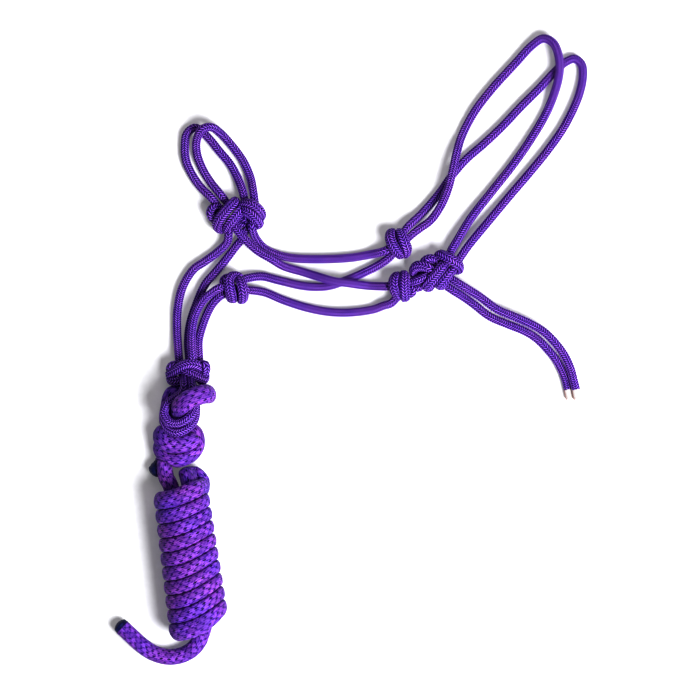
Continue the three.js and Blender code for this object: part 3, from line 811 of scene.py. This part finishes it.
def floor_material():
    """Pale and matt, and glowing a little so that it stays nearly white beside the shadows."""
    s = Shader("pale_floor", Roughness=0.85)
    grain = s.ramp(s.noise(180, 4), (0.3, (0.66, 0.66, 0.665)), (0.7, (0.70, 0.70, 0.705)))
    s.put(s.surface.inputs["Base Color"], grain)
    s.put(s.surface.inputs["Emission Color"], (1, 1, 1, 1))
    s.put(s.surface.inputs["Emission Strength"], FLOOR_GLOW)
    return s.material


# ---------------------------------------------------------------- the parts

def lay_halter():
    """Strands from knot to knot, and the wraps of each knot."""
    for name, points in routes.items():
        before, after = inside_knots[name]
        add_rope(name, before[::-1] + points + after, HALTER_ROPE, HALTER_BRAID)
    for name, wraps in knot_wraps.items():
        low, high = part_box(name)
        middle = (np.array(low) + np.array(high)) / 2 / MM
        middle[2] = HALTER_ROPE
        for wrap in wraps:
            add_rope(name, wrap, HALTER_ROPE, HALTER_BRAID, WRAP_SPREAD, (middle, middle))


def hank_line():
    """The wound part of the lead: two runs inside, then the wraps round them from top to bottom."""
    run = hank_bottom - hank_top
    long = np.linalg.norm(run)
    down = run / long
    right = np.array([-down[1], down[0]])
    rise = (HANK_HEIGHT - LEAD_ROPE) / 2

    def at(along, across, height):
        place = hank_top + down * along + right * across
        return (*place, height)

    points = [at(50, -5, 17), at(75, -4.5, 17), at(98, -4, 17), at(108, 1, 21),
              at(98, 6, 26), at(75, 6.5, 27), at(45, 6, 27), at(20, 6, 27), at(2, 9, 26.5),
              at(-8, 9, 23), at(-13, 8.5, 15), at(-13.5, 11, 9), at(-10, 16, 8.5), at(-3, 19, 9.5)]
    for turn in range(HANK_TURNS):
        share = turn / (HANK_TURNS - 1)
        left_end = FIRST_WRAP + WRAP_PITCH * turn
        climb = CLIMB_FIRST + (CLIMB_LAST - CLIMB_FIRST) * share
        next_share = (turn + 1) / (HANK_TURNS - 1)
        next_climb = CLIMB_FIRST + (CLIMB_LAST - CLIMB_FIRST) * next_share
        for i in range(HANK_STEPS):
            angle = 2 * math.pi * i / HANK_STEPS
            width = HANK_WIDTH + HANK_WIDENING * share - LEAD_ROPE
            across = width / 2 * math.cos(angle)
            height = HANK_HEIGHT / 2 + rise * math.sin(angle)
            to_right = (1 + math.cos(angle)) / 2
            if i < HANK_STEPS / 2:
                along = left_end - climb * to_right ** 2
            else:
                along = left_end + (WRAP_PITCH - next_climb) * to_right
            starting = turn == 0 and i < 2
            finished = turn == HANK_TURNS - 1 and i > LAST_TURN * HANK_STEPS
            if not starting and not finished:
                points.append(at(along, across, height))
    points += [at(110, 8, 12), at(100, 4, 14)]
    return points


def lay_lead():
    """The lead from its eye round the fiador loop to its free tail."""
    add_rope("lead_eye", lead_eye_start[::-1] + lead_eye + lead_eye_end, LEAD_ROPE, LEAD_BRAID,
             LEAD_WRAP_SPREAD, around_loop)
    add_rope("lead_knot", lead_knot, LEAD_ROPE, LEAD_BRAID, LEAD_WRAP_SPREAD, around_knot)
    add_rope("lead_neck", lead_neck, LEAD_ROPE, LEAD_BRAID)
    add_rope("lead_hank", hank_line(), LEAD_ROPE, LEAD_BRAID, HANK_WRAP_SPREAD, around_hank)
    add_rope("lead_tail", lead_tail_start + lead_tail, LEAD_ROPE, LEAD_BRAID)


def lay_ends():
    """The whipping on each halter tail, and the melted ends of the lead."""
    for side in ("upper", "lower"):
        end = np.array(routes["tail_strand_" + side][-1], float)
        far = end + (WHIPPING_LEAN, -WHIPPING_LENGTH, 0)
        whipping = [end, (end + far) / 2, far]
        add_rope("tail_whipping_" + side, whipping, HALTER_ROPE, WHIPPING, round_end=True)
    end = np.array(lead_tail[-1], float)
    onward = unit(end - np.array(lead_tail[-2])) * LEAD_TIP_LENGTH
    add_rope("lead_tail_tip", [end, end + onward / 2, end + onward], LEAD_ROPE, SEAL, round_end=True)
    add_rope("lead_stub", [lead_knot[-1], *lead_stub], LEAD_ROPE, SEAL, round_end=True)


def bend(piece):
    """Bakes the rope's place into its mesh, and leaves it on no body.
    """
    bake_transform(piece)


def attach(name, piece):
    """Puts a piece on its body; a rope that runs on to the next body only has its place baked into its
    mesh.
    """
    if name.startswith("noseband"):
        bend(piece)
    elif name.startswith("crown"):
        bend(piece)
    elif name.startswith("tail_strand"):
        bend(piece)
    elif name == "lead_eye":
        bend(piece)
    elif name == "lead_neck":
        bend(piece)
    elif name.startswith("tail_whipping"):
        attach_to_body(piece, "tails")
    elif name == "lead_tail_tip":
        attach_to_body(piece, "lead_end")
    elif name == "lead_tail":
        bend(piece)
    elif name in ("lead_knot", "lead_stub"):
        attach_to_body(piece, "lead_head")
    elif name == "lead_hank":
        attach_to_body(piece, "lead_coil")
    else:
        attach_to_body(piece, "halter")


def make_floor():
    """What the halter lies on. It is not a piece of the part."""
    mesh = bpy.data.meshes.new("floor")
    far = FLOOR_REACH
    mesh.from_pydata([(-far, -far, 0), (far, -far, 0), (far, far, 0), (-far, far, 0)], [], [(0, 1, 2, 3)])
    mesh.materials.append(floor_material())
    floor = bpy.data.objects.new("floor", mesh)
    bpy.context.scene.collection.objects.link(floor)


# ---------------------------------------------------------------- the whole scene

make_camera()
make_studio()
lay_halter()
lay_lead()
lay_ends()

# Every second point of each line is enough to find what presses on what
centres = np.vstack([rope["line"][::2] for rope in all_ropes])
radii = np.concatenate([np.full(len(rope["line"][::2]), rope["radius"]) for rope in all_ropes])

materials = {"halter_braid": halter_material(), "lead_braid": lead_material(),
             "whipping": whipping_material(), "lead_seal": seal_material()}
for name in dict.fromkeys(rope["piece"] for rope in all_ropes):
    ropes = [rope for rope in all_ropes if rope["piece"] == name]
    slot = ropes[0]["braid"]["slot"]
    piece = make_piece(name + "_rope", ropes, materials[slot], centres, radii)
    attach(name, piece)
    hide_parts(name)
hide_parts("hank_bight")

hank_line()[0]

make_floor()
